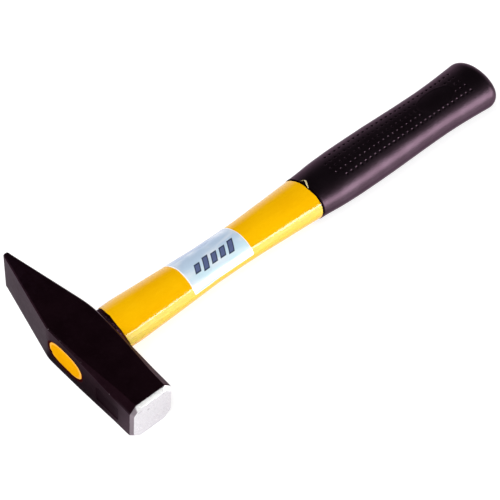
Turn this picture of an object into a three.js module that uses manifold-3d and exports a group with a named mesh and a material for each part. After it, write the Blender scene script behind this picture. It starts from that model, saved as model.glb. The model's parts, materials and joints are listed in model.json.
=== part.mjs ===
// Cross-peen hammer, German pattern, with a three-component fibreglass handle.
// Millimetres. The tool lies on one cheek: +X runs along the handle from the head to the butt,
// -Y points at the striking face, +Y at the peen, +Z is the normal of the upper cheek.
// Origin: centre of the bounding box in X and Y, on the resting plane in Z.
import * as THREE from 'three';
import { mergeVertices } from 'three/addons/utils/BufferGeometryUtils.js';
import Module from 'manifold-3d';

const wasm = await Module();
wasm.setup();

// ---------------------------------------------------------------- driving dimensions
const HEAD_SIDE = 27.15;            // square section of the head body
const H = HEAD_SIDE / 2;
const FACE_Y = -53.3;               // striking face plane, measured from the eye centre
const PEEN_Y = 67.3;                // tip of the peen, measured from the eye centre
const CHAMFER_LENGTH = 2.2;         // chamfer round the striking face, along Y
const CHAMFER_INSET = 1.36;         // and across
const FACE_CORNER = 4.25;           // cut corners of the face itself
// corner facets: station along Y and how far they cut into the square section
const FACETS = [[-51.1, 4.2], [-38.0, 3.65], [-30.0, 2.9], [-20.0, 2.05], [-12.0, 1.5], [-4.0, 1.1], [8.0, 0.7]];
const PEEN_EDGE = 0.7;              // broken edges of the peen
const BEND_TOP_Y = 14.4;            // where the peen slope starts on the eye-top side
const TIP_XM = -0.9;                // tip thickness runs from TIP_XM to TIP_XP
const TIP_XP = 2.12;

const EYE_Y = -0.45;                // eye centre along the head
const EYE_Z = 0.5;                  // the eye sits slightly above the middle of the head
const EYE_END = [13.55, 7.5];       // half length, half width at both mouths
const EYE_WAIST = [12.2, 6.2];      // and at the waist
const EYE_POWER = 2.2;              // squareness of the oval
const PLUG_RISE = 0.35;             // the plug leaves a wider gap on its lower side

const STAMP = { y0: -42.3, y1: -24.7, z0: -6.2, z1: 4.6, r: 2.6, depth: 0.5 };

const GAP = 0.3;                    // clearance between neighbouring pieces
const PLUG_LENGTH = 3.6;
const CORE = [9.2, 4.3];            // half axes of the glass-fibre rod
const CORE_END_X = 282;
const COLLAR_X = [H + GAP, 17.2];
const JACKET_X = [17.5, 292.0];
const GRIP_X = [157.3, 304.5];     // front rim and butt of the soft grip
const GRIP_WALL = 2.6;
const BUTT_ROUND = 8.6;
const LABEL_X = [64.5, 107.2];
const LABEL_GAP = 0.1;
const LABEL_THICK = 0.25;

// outline of the handle: x, half width (along Y), half thickness (along Z)
const OUTLINE = [
  [13.0, 13.45, 10.45], [17.2, 13.6, 10.58], [17.5, 13.95, 10.85], [26.0, 14.15, 11.00], [40.0, 13.75, 10.65],
  [55.0, 13.25, 10.24], [64.5, 12.88, 9.94], [70.0, 12.67, 9.77], [85.0, 12.12, 9.30], [100.0, 12.14, 9.31],
  [107.2, 12.30, 9.42], [115.0, 12.53, 9.58], [130.0, 13.22, 10.08], [145.0, 13.90, 10.57], [156.6, 14.5, 11.00],
  [157.3, 14.92, 11.34], [160.5, 15.0, 11.40], [166.0, 15.4, 11.66], [173.0, 16.0, 12.10], [180.0, 16.37, 12.37],
  [190.0, 16.68, 12.60], [200.0, 16.76, 12.63], [215.0, 16.74, 12.58], [230.0, 16.5, 12.37], [245.0, 16.26, 12.11],
  [260.0, 16.2, 11.98], [272.0, 16.5, 12.10], [284.0, 17.18, 12.43], [293.0, 17.82, 12.76], [299.0, 18.25, 12.98],
  [308.0, 18.6, 13.10],
];

const CENTRE_X = (GRIP_X[1] - H) / 2;       // middle of the overall length
const CENTRE_Y = (FACE_Y + PEEN_Y) / 2;     // middle of the head length

// ---------------------------------------------------------------- helpers
const lerp = (a, b, t) => a + (b - a) * t;

// monotone smooth interpolation through a table of [x, v1, v2]
function table(rows, x, col) {
  const n = rows.length;
  if (x <= rows[0][0]) return rows[0][col];
  if (x >= rows[n - 1][0]) return rows[n - 1][col];
  let i = 0;
  while (rows[i + 1][0] < x) i++;
  const slope = (j) => {
    if (j <= 0 || j >= n - 1) return 0;
    const a = (rows[j][col] - rows[j - 1][col]) / (rows[j][0] - rows[j - 1][0]);
    const b = (rows[j + 1][col] - rows[j][col]) / (rows[j + 1][0] - rows[j][0]);
    return a * b <= 0 ? 0 : (2 * a * b) / (a + b);
  };
  const h = rows[i + 1][0] - rows[i][0];
  const t = (x - rows[i][0]) / h;
  const m0 = slope(i) * h, m1 = slope(i + 1) * h;
  return (2 * t ** 3 - 3 * t ** 2 + 1) * rows[i][col] + (t ** 3 - 2 * t ** 2 + t) * m0
    + (-2 * t ** 3 + 3 * t ** 2) * rows[i + 1][col] + (t ** 3 - t ** 2) * m1;
}

// closed body through a stack of rings with the same number of points
function loft(rings) {
  const n = rings[0].length;
  const pos = [];
  rings.forEach((ring) => ring.forEach((p) => pos.push(p[0], p[1], p[2])));
  const idx = [];
  for (let k = 0; k + 1 < rings.length; k++) {
    for (let i = 0; i < n; i++) {
      const j = (i + 1) % n;
      const a = k * n + i, b = k * n + j, c = (k + 1) * n + i, d = (k + 1) * n + j;
      idx.push(a, b, d, a, d, c);
    }
  }
  [0, rings.length - 1].forEach((k, end) => {
    const c = [0, 1, 2].map((q) => rings[k].reduce((s, p) => s + p[q], 0) / n);
    const ci = pos.length / 3;
    pos.push(...c);
    for (let i = 0; i < n; i++) {
      const j = (i + 1) % n;
      if (end === 0) idx.push(ci, k * n + j, k * n + i);
      else idx.push(ci, k * n + i, k * n + j);
    }
  });
  return outward(pos, idx);
}

// closed grid body: u runs round the wall section, v along the strip
function outward(pos, idx) {
  let vol = 0;
  for (let t = 0; t < idx.length; t += 3) {
    const [a, b, c] = [idx[t], idx[t + 1], idx[t + 2]].map((q) => [pos[3 * q], pos[3 * q + 1], pos[3 * q + 2]]);
    vol += a[0] * (b[1] * c[2] - b[2] * c[1]) - a[1] * (b[0] * c[2] - b[2] * c[0]) + a[2] * (b[0] * c[1] - b[1] * c[0]);
  }
  if (vol < 0) for (let t = 0; t < idx.length; t += 3) [idx[t + 1], idx[t + 2]] = [idx[t + 2], idx[t + 1]];
  const g = new THREE.BufferGeometry();
  g.setAttribute('position', new THREE.Float32BufferAttribute(pos, 3));
  g.setIndex(idx);
  return g;
}

const oval = (x, hy, hz, cy, n, power = 2, cz = 0) => {
  const ring = [];
  for (let i = 0; i < n; i++) {
    const a = (2 * Math.PI * i) / n;
    const c = Math.cos(a), s = Math.sin(a);
    const e = 2 / power;
    ring.push([x, cy + hy * Math.sign(c) * Math.abs(c) ** e, cz + hz * Math.sign(s) * Math.abs(s) ** e]);
  }
  return ring;
};

function solid(geometry) {
  const g = geometry.clone();
  g.deleteAttribute('normal');
  g.deleteAttribute('uv');
  const m = mergeVertices(g, 1e-4);
  return new wasm.Manifold(new wasm.Mesh({
    numProp: 3,
    vertProperties: new Float32Array(m.attributes.position.array),
    triVerts: new Uint32Array(m.index.array),
  }));
}

function fromSolid(s) {
  const m = s.getMesh();
  const pos = [];
  for (let i = 0; i < m.numVert; i++) {
    pos.push(m.vertProperties[i * m.numProp], m.vertProperties[i * m.numProp + 1], m.vertProperties[i * m.numProp + 2]);
  }
  return outward(pos, Array.from(m.triVerts));
}

// ---------------------------------------------------------------- head
// eye-top side and handle side of the head along its length
const topSide = (y) => (y <= BEND_TOP_Y ? -H : lerp(-H, TIP_XM, (y - BEND_TOP_Y) / (PEEN_Y - BEND_TOP_Y)));
const UNDER = [[-60, H], [6, H], [10, H - 0.2], [14, H - 0.65], [18.8, 12.14], [PEEN_Y, TIP_XP]];
const underSide = (y) => {
  let i = 0;
  while (i < UNDER.length - 2 && UNDER[i + 1][0] < y) i++;
  const t = (y - UNDER[i][0]) / (UNDER[i + 1][0] - UNDER[i][0]);
  return lerp(UNDER[i][1], UNDER[i + 1][1], Math.min(Math.max(t, 0), 1));
};
const headRing = (y, xm, xp, zh, k) => [
  [xm, y, -(zh - k)], [xm, y, zh - k], [xm + k, y, zh], [xp - k, y, zh],
  [xp, y, zh - k], [xp, y, -(zh - k)], [xp - k, y, -zh], [xm + k, y, -zh],
];
const facetAt = (y) => {
  let i = 0;
  while (i < FACETS.length - 2 && FACETS[i + 1][0] < y) i++;
  return lerp(FACETS[i][1], FACETS[i + 1][1], (y - FACETS[i][0]) / (FACETS[i + 1][0] - FACETS[i][0]));
};
const headRings = [headRing(FACE_Y, -H + CHAMFER_INSET, H - CHAMFER_INSET, H - CHAMFER_INSET, FACE_CORNER)];
for (const [y] of FACETS) headRings.push(headRing(y, -H, y > 6 ? underSide(y) : H, H, facetAt(y)));
for (const y of [10, 14, BEND_TOP_Y, 18.8, 32, 48, PEEN_Y - 0.8]) {
  headRings.push(headRing(y, topSide(y), underSide(y), H, PEEN_EDGE));
}
{
  const tx = (TIP_XM + TIP_XP) / 2;
  headRings.push(headRing(PEEN_Y, tx - 0.85, tx + 0.85, H - 0.8, 0.35));
}

const eyeAt = (x) => {
  const t = Math.min(Math.abs(x) / H, 1) ** 1.6;
  return [lerp(EYE_WAIST[0], EYE_END[0], t), lerp(EYE_WAIST[1], EYE_END[1], t)];
};
const eyeLoft = (xs, shrink, n) => loft(xs.map((x) => {
  const [a, b] = eyeAt(x);
  return oval(x, a - shrink, b - shrink, EYE_Y, n, EYE_POWER, EYE_Z);
}));

const EYE_STEPS = [-H - 1, -H, -11, -9, -6, -3, 0, 3, 6, 9, 11, H, H + 1];
const stampShape = new THREE.Shape();
{
  const { y0, y1, z0, z1, r } = STAMP;
  stampShape.moveTo(y0 + r, z0);
  stampShape.lineTo(y1 - r, z0);
  stampShape.absarc(y1 - r, z0 + r, r, -Math.PI / 2, 0);
  stampShape.lineTo(y1, z1 - r);
  stampShape.absarc(y1 - r, z1 - r, r, 0, Math.PI / 2);
  stampShape.lineTo(y0 + r, z1);
  stampShape.absarc(y0 + r, z1 - r, r, Math.PI / 2, Math.PI);
  stampShape.lineTo(y0, z0 + r);
  stampShape.absarc(y0 + r, z0 + r, r, Math.PI, 1.5 * Math.PI);
}
const stampCutter = new THREE.ExtrudeGeometry(stampShape, { depth: STAMP.depth + 1, bevelEnabled: false, curveSegments: 5 });
// shape plane (u, v, w) -> (w, u, v): extrusion runs along +X
stampCutter.applyMatrix4(new THREE.Matrix4().set(0, 0, 1, -H - 1, 1, 0, 0, 0, 0, 1, 0, 0, 0, 0, 0, 1));

const headGeometry = fromSolid(
  solid(loft(headRings)).subtract(solid(eyeLoft(EYE_STEPS, 0, 48))).subtract(solid(stampCutter)),
);

// ---------------------------------------------------------------- parts inside and on the eye
const plugGeometry = loft([
  [-H + 0.1, 0.8], [-H + 0.4, 0.25], [-H + 1.0, 0], [-H + PLUG_LENGTH, 0],
].map(([x, s]) => {
  const [a, b] = eyeAt(x);
  return oval(x, a - GAP - s, b - GAP - PLUG_RISE - s, EYE_Y, 48, EYE_POWER, EYE_Z + PLUG_RISE);
}));

const resinX = [-H + PLUG_LENGTH + GAP, H - 0.1];
const resinSteps = [resinX[0], -6, -3, 0, 3, 6, 9, 11, resinX[1]];
const coreHole = loft([resinX[0] - 2, resinX[1] + 2].map((x) => oval(x, CORE[0] + GAP, CORE[1] + GAP, 0, 40, 2.6)));
const resinGeometry = fromSolid(solid(eyeLoft(resinSteps, GAP, 48)).subtract(solid(coreHole)));

const coreGeometry = loft([
  [resinX[0] + 0.2, 0.5], [resinX[0] + 0.9, 0], [60, 0], [120, 0], [180, 0], [240, 0], [CORE_END_X - 0.8, 0], [CORE_END_X, 0.6],
].map(([x, s]) => oval(x, CORE[0] - s, CORE[1] - s, 0, 40, 2.6)));

// ---------------------------------------------------------------- handle
const N = 48;
const outer = (x, inset = 0) => oval(x, table(OUTLINE, x, 1) - inset, table(OUTLINE, x, 2) - inset, 0, N);
const bore = (x0, x1) => loft([x0, x1].map((x) => oval(x, CORE[0] + GAP, CORE[1] + GAP, 0, 40, 2.6)));

const collarGeometry = fromSolid(
  solid(loft([[COLLAR_X[0], 0.9], [COLLAR_X[0] + 0.7, 0.1], [COLLAR_X[1] - 0.4, 0.0], [COLLAR_X[1], 0.35]]
    .map(([x, s]) => outer(x, s)))).subtract(solid(bore(COLLAR_X[0] - 1, COLLAR_X[1] + 1))),
);

const JACKET_STEPS = [JACKET_X[0], 18.1, 22, 26, 33, 40, 47, 55, LABEL_X[0], 70, 77, 85, 92, 100, LABEL_X[1], 115, 122, 130, 137, 145, 151, 156.4];
const UNDER_GRIP = [159.5, 166, 173, 180, 190, 200, 215, 230, 245, 260, 272, 284, JACKET_X[1]];
const jacketGeometry = fromSolid(
  solid(loft([
    ...JACKET_STEPS.map((x, i) => outer(x, i === 0 ? 0.35 : 0.0)),
    outer(157.0, GRIP_WALL + GAP),
    ...UNDER_GRIP.map((x) => outer(x, GRIP_WALL + GAP)),
  ])).subtract(solid(bore(JACKET_X[0] - 1, CORE_END_X + 0.5))),
);

const gripOuter = [
  outer(GRIP_X[0], 0.35), outer(GRIP_X[0] + 0.6, 0),
  ...[160.5, 166, 173, 180, 190, 200, 215, 230, 245, 260, 272, 284, 291].map((x) => outer(x)),
];
for (let i = 0; i <= 7; i++) {
  const a = (i / 7) * Math.PI / 2;
  const x = GRIP_X[1] - BUTT_ROUND + BUTT_ROUND * Math.sin(a);
  gripOuter.push(outer(x, BUTT_ROUND * (1 - Math.cos(a))));
}
const gripCavity = loft([
  outer(GRIP_X[0] - 1, GRIP_WALL), ...UNDER_GRIP.slice(0, -1).map((x) => outer(x, GRIP_WALL)),
  outer(JACKET_X[1] + GAP, GRIP_WALL),
]);
const gripGeometry = fromSolid(solid(loft(gripOuter)).subtract(solid(gripCavity)));

// thin curved sticker on the upper side of the jacket
const labelGeometry = (() => {
  const xs = [LABEL_X[0], 70, 77, 85, 92, 100, LABEL_X[1]];
  const first = 3, last = N / 2 - 3;
  const pos = [];
  const idx = [];
  const at = (x, i, off) => {
    const p = outer(x, -off)[i];
    return p;
  };
  const m = last - first + 1;
  const row = 2 * m;
  xs.forEach((x) => {
    for (let i = first; i <= last; i++) pos.push(...at(x, i, LABEL_GAP));
    for (let i = last; i >= first; i--) pos.push(...at(x, i, LABEL_GAP + LABEL_THICK));
  });
  for (let k = 0; k + 1 < xs.length; k++) {
    for (let i = 0; i < row; i++) {
      const j = (i + 1) % row;
      idx.push(k * row + i, k * row + j, (k + 1) * row + j, k * row + i, (k + 1) * row + j, (k + 1) * row + i);
    }
  }
  [0, xs.length - 1].forEach((k, end) => {
    for (let i = 0; i + 1 < m; i++) {
      const a = k * row + i, b = k * row + i + 1, c = k * row + row - 1 - i, d = k * row + row - 2 - i;
      if (end === 0) idx.push(a, c, b, b, c, d);
      else idx.push(a, b, c, b, d, c);
    }
  });
  return outward(pos, idx);
})();

// ---------------------------------------------------------------- assembly
const material = (color, roughness, metalness) => new THREE.MeshStandardMaterial({ color, roughness, metalness });
const root = new THREE.Group();
root.name = 'cross_peen_hammer';

function add(name, geometry, mat) {
  geometry.translate(-CENTRE_X, -CENTRE_Y, H);
  geometry.computeVertexNormals();
  const mesh = new THREE.Mesh(geometry, mat);
  mesh.name = name;
  root.add(mesh);
}

add('hammer_head', headGeometry, material(0x17121a, 0.42, 0.6));
add('eye_plug', plugGeometry, material(0xf5b40f, 0.35, 0.0));
add('eye_resin', resinGeometry, material(0xc9a24a, 0.5, 0.0));
add('fibreglass_core', coreGeometry, material(0xd8cf9a, 0.55, 0.0));
add('neck_collar', collarGeometry, material(0x1a1418, 0.6, 0.0));
add('handle_jacket', jacketGeometry, material(0xf7b400, 0.25, 0.0));
add('foil_label', labelGeometry, material(0xc4d8ee, 0.35, 0.1));
add('grip_sleeve', gripGeometry, material(0x1c141b, 0.6, 0.0));

export default root;
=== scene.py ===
# Cross-peen hammer lying on one cheek: forged head, yellow eye plug, three-component handle.
import json
import math
import bpy
import bmesh
from mathutils import Vector, Matrix


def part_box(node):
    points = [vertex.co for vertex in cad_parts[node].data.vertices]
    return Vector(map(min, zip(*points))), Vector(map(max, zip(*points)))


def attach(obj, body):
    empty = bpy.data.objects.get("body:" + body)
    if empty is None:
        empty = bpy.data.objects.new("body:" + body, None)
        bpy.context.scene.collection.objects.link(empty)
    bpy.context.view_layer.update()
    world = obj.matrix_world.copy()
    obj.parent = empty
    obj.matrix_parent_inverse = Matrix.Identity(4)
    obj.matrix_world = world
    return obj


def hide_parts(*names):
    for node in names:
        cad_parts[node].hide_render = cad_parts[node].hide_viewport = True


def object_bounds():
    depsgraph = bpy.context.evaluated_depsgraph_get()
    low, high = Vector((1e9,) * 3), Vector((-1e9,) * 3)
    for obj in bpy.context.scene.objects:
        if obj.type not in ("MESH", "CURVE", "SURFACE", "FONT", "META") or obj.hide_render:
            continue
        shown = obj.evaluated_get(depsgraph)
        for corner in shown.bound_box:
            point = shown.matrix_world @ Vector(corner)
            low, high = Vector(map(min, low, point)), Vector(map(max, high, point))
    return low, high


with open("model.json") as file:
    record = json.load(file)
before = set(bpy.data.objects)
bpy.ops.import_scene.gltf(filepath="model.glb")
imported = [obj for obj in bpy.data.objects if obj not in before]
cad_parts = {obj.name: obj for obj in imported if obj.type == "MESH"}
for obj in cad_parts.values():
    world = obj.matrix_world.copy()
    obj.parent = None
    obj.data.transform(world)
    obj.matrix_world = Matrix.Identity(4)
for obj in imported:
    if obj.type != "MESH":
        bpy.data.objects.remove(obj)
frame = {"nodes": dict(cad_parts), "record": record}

CAD_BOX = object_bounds()
SLOTS = {m.get("slot") for m in frame["record"].get("materials", [])}

# ------------------------------------------------------------------ where the head's eye centre is
hlo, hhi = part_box("hammer_head")
EX, EY, EZ = (hlo.x + hhi.x) / 2, hlo.y + 0.0533, (hlo.z + hhi.z) / 2


def W(x, y, z):
    """millimetres from the eye centre -> metres in the shared frame"""
    return Vector((EX + x / 1000.0, EY + y / 1000.0, EZ + z / 1000.0))


def lerp(a, b, t):
    return a + (b - a) * t


def smooth(e0, e1, v):
    t = min(max((v - e0) / (e1 - e0), 0.0), 1.0)
    return t * t * (3 - 2 * t)


def interp(rows, v):
    """piecewise linear through [(v, value), ...]"""
    if v <= rows[0][0]:
        return rows[0][1]
    for a, b in zip(rows, rows[1:]):
        if v <= b[0]:
            return lerp(a[1], b[1], (v - a[0]) / (b[0] - a[0]))
    return rows[-1][1]


# ------------------------------------------------------------------ dimensions, as in the CAD (mm from the eye centre)
H = (hhi.z - hlo.z) * 500.0
FACE_Y, BOUND_Y, PEEN_Y = -53.3, -51.1, 67.3
FACETS = [(-51.1, 4.2), (-38.0, 3.65), (-30.0, 2.9), (-20.0, 2.05), (-12.0, 1.5), (-4.0, 1.1), (8.0, 0.7), (80.0, 0.7)]
UNDER = [(-60.0, H), (6.0, H), (10.0, H - 0.2), (14.0, H - 0.65), (18.8, 12.14), (67.3, 2.12)]
TOP = [(-60.0, -H), (14.4, -H), (67.3, -0.9)]
EYE_Y, EYE_Z = -0.45, 0.5
PLUG_Y, PLUG_Z = 0.12, 0.05
EYE_END, EYE_WAIST, EYE_POWER = (13.55, 7.5), (12.2, 6.2), 2.2
GRIP_END = (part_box("grip_sleeve")[1].x - EX) * 1000.0

OUTLINE = [
    [13.0, 13.45, 10.45], [17.2, 13.6, 10.58], [17.5, 13.95, 10.85], [26.0, 14.15, 11.00], [40.0, 13.75, 10.65],
    [55.0, 13.25, 10.24], [64.5, 12.88, 9.94], [70.0, 12.67, 9.77], [85.0, 12.12, 9.30], [100.0, 12.14, 9.31],
    [107.2, 12.30, 9.42], [115.0, 12.53, 9.58], [130.0, 13.22, 10.08], [145.0, 13.90, 10.57], [156.6, 14.5, 11.00],
    [157.3, 14.92, 11.34], [160.5, 15.0, 11.40], [166.0, 15.4, 11.66], [173.0, 16.0, 12.10], [180.0, 16.37, 12.37],
    [190.0, 16.68, 12.60], [200.0, 16.76, 12.63], [215.0, 16.74, 12.58], [230.0, 16.5, 12.37], [245.0, 16.26, 12.11],
    [260.0, 16.2, 11.98], [272.0, 16.5, 12.10], [284.0, 17.18, 12.43], [293.0, 17.82, 12.76], [299.0, 18.25, 12.98],
    [308.0, 18.6, 13.10],
]


def table(rows, x, col):
    n = len(rows)
    if x <= rows[0][0]:
        return rows[0][col]
    if x >= rows[-1][0]:
        return rows[-1][col]
    i = 0
    while rows[i + 1][0] < x:
        i += 1

    def slope(j):
        if j <= 0 or j >= n - 1:
            return 0.0
        a = (rows[j][col] - rows[j - 1][col]) / (rows[j][0] - rows[j - 1][0])
        b = (rows[j + 1][col] - rows[j][col]) / (rows[j + 1][0] - rows[j][0])
        return 0.0 if a * b <= 0 else 2 * a * b / (a + b)

    h = rows[i + 1][0] - rows[i][0]
    t = (x - rows[i][0]) / h
    m0, m1 = slope(i) * h, slope(i + 1) * h
    return ((2 * t**3 - 3 * t**2 + 1) * rows[i][col] + (t**3 - 2 * t**2 + t) * m0
            + (-2 * t**3 + 3 * t**2) * rows[i + 1][col] + (t**3 - t**2) * m1)


JACKET_ROWS = [r for r in OUTLINE if 17.5 <= r[0] <= 156.6] + [[165.0, 14.9, 11.3]]
GRIP_ROWS = [r for r in OUTLINE if r[0] >= 157.3]


def jacket_half(x):
    return table(JACKET_ROWS, x, 1), table(JACKET_ROWS, x, 2)


def grip_half(x):
    return table(GRIP_ROWS, x, 1), table(GRIP_ROWS, x, 2)


# ------------------------------------------------------------------ mesh helpers
def new_piece(name, bm, slot=None, replaces=None, material=None, sharp=None):
    bmesh.ops.recalc_face_normals(bm, faces=bm.faces)
    me = bpy.data.meshes.new(name)
    bm.to_mesh(me)
    bm.free()
    for p in me.polygons:
        p.use_smooth = True
    if sharp is not None:
        me.set_sharp_from_angle(angle=math.radians(sharp))
    ob = bpy.data.objects.new(name, me)
    bpy.context.scene.collection.objects.link(ob)
    if material is not None:
        me.materials.append(material)
    if slot:
        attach(ob, "root")
    if replaces:
        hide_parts(replaces)
    return ob


def skin(rings, start="fan", end="fan"):
    """closed tube through rings of equal length; a ring is a list of Vectors; 'fan' closes an end on its centre"""
    bm = bmesh.new()
    vs = [[bm.verts.new(p) for p in ring] for ring in rings]
    n = len(rings[0])
    for a, b in zip(vs, vs[1:]):
        for i in range(n):
            j = (i + 1) % n
            bm.faces.new((a[i], a[j], b[j], b[i]))
    for ring, how in ((vs[0], start), (vs[-1], end)):
        if how == "fan":
            c = Vector((0, 0, 0))
            for v in ring:
                c += v.co
            cv = bm.verts.new(c / n)
            for i in range(n):
                bm.faces.new((ring[i], ring[(i + 1) % n], cv))
        elif how == "ngon":
            bm.faces.new(ring)
    return bm


def superoval(x, hy, hz, cy, cz, n, power=2.0):
    out = []
    for i in range(n):
        a = 2 * math.pi * i / n
        c, s, e = math.cos(a), math.sin(a), 2.0 / power
        out.append(W(x, cy + hy * math.copysign(abs(c) ** e, c), cz + hz * math.copysign(abs(s) ** e, s)))
    return out


def apply_modifiers(ob):
    dg = bpy.context.evaluated_depsgraph_get()
    me = bpy.data.meshes.new_from_object(ob.evaluated_get(dg), depsgraph=dg)
    old = ob.data
    ob.modifiers.clear()
    ob.data = me
    bpy.data.meshes.remove(old)


# ------------------------------------------------------------------ node helpers
class Nodes:
    """a material's node tree; coordinates are millimetres from the eye centre, taken from object coordinates"""

    def __init__(self, name):
        self.mat = bpy.data.materials.new(name)
        self.mat.use_nodes = True
        self.t = self.mat.node_tree
        self.t.nodes.clear()
        self.out = self.t.nodes.new("ShaderNodeOutputMaterial")
        self.bsdf = self.t.nodes.new("ShaderNodeBsdfPrincipled")
        self.t.links.new(self.bsdf.outputs[0], self.out.inputs["Surface"])
        tc = self.t.nodes.new("ShaderNodeTexCoord")
        self.mm = self.vmath("MULTIPLY_ADD", tc.outputs["Object"], (1000, 1000, 1000), (-EX * 1000, -EY * 1000, -EZ * 1000))
        sep = self.t.nodes.new("ShaderNodeSeparateXYZ")
        self.t.links.new(self.mm, sep.inputs[0])
        self.x, self.y, self.z = sep.outputs

    def put(self, socket, value):
        if isinstance(value, bpy.types.NodeSocket):
            self.t.links.new(value, socket)
        elif value is not None:
            socket.default_value = value

    def vmath(self, op, a, b=None, c=None):
        n = self.t.nodes.new("ShaderNodeVectorMath")
        n.operation = op
        for s, v in zip(n.inputs, (a, b, c)):
            self.put(s, v)
        return n.outputs["Value"] if op in ("LENGTH", "DISTANCE", "DOT_PRODUCT") else n.outputs[0]

    def m(self, op, a, b=None, c=None, clamp=False):
        n = self.t.nodes.new("ShaderNodeMath")
        n.operation, n.use_clamp = op, clamp
        for s, v in zip(n.inputs, (a, b, c)):
            self.put(s, v)
        return n.outputs[0]

    def add(self, a, b):
        return self.m("ADD", a, b)

    def sub(self, a, b):
        return self.m("SUBTRACT", a, b)

    def mul(self, a, b, clamp=False):
        return self.m("MULTIPLY", a, b, clamp=clamp)

    def step(self, v, e0, e1, lo=0.0, hi=1.0):
        """smooth step of v from e0 (lo) to e1 (hi)"""
        n = self.t.nodes.new("ShaderNodeMapRange")
        n.interpolation_type = "SMOOTHSTEP"
        for k, q in (("Value", v), ("From Min", e0), ("From Max", e1), ("To Min", lo), ("To Max", hi)):
            self.put(n.inputs[k], q)
        return n.outputs[0]

    def vec(self, x, y, z):
        n = self.t.nodes.new("ShaderNodeCombineXYZ")
        for s, v in zip(n.inputs, (x, y, z)):
            self.put(s, v)
        return n.outputs[0]

    def scale(self, v, s):
        return self.vmath("MULTIPLY", v, s if isinstance(s, tuple) else (s, s, s))

    def noise(self, v, scale, detail=3.0, rough=0.55, distort=0.0):
        n = self.t.nodes.new("ShaderNodeTexNoise")
        n.noise_dimensions = "3D"
        self.put(n.inputs["Vector"], v)
        n.inputs["Scale"].default_value = scale
        n.inputs["Detail"].default_value = detail
        n.inputs["Roughness"].default_value = rough
        n.inputs["Distortion"].default_value = distort
        return n.outputs[0]

    def voronoi(self, v, scale, feature="F1"):
        n = self.t.nodes.new("ShaderNodeTexVoronoi")
        n.feature = feature
        self.put(n.inputs["Vector"], v)
        n.inputs["Scale"].default_value = scale
        return n.outputs["Distance"]

    def mix(self, f, a, b, blend="MIX"):
        n = self.t.nodes.new("ShaderNodeMix")
        n.data_type, n.blend_type = "RGBA", blend
        col = [s for s in n.inputs if s.type == "RGBA"]
        self.put(n.inputs[0], f)
        for s, v in zip(col, (a, b)):
            self.put(s, v if isinstance(v, bpy.types.NodeSocket) else (*v, 1.0) if len(v) == 3 else v)
        return [o for o in n.outputs if o.type == "RGBA"][0]

    def bump(self, height, distance=0.001, strength=1.0, prev=None):
        n = self.t.nodes.new("ShaderNodeBump")
        n.inputs["Strength"].default_value = strength
        n.inputs["Distance"].default_value = distance
        self.put(n.inputs["Height"], height)
        if prev is not None:
            self.put(n.inputs["Normal"], prev)
        return n.outputs[0]

    def angle(self, ratio):
        """degrees round the handle's oval: 0 at +Y, 90 on top, 180 at -Y"""
        a = self.m("ARCTAN2", self.mul(self.z, ratio), self.y)
        return self.mul(a, 180.0 / math.pi)

    def finish(self, colour, rough, normal=None, metallic=0.0, **fixed):
        b = self.bsdf
        self.put(b.inputs["Base Color"], colour if isinstance(colour, bpy.types.NodeSocket) else (*colour, 1.0))
        self.put(b.inputs["Roughness"], rough)
        self.put(b.inputs["Metallic"], metallic)
        if normal is not None:
            self.put(b.inputs["Normal"], normal)
        for k, v in fixed.items():
            b.inputs[k.replace("_", " ")].default_value = v
        return self.mat


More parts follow.
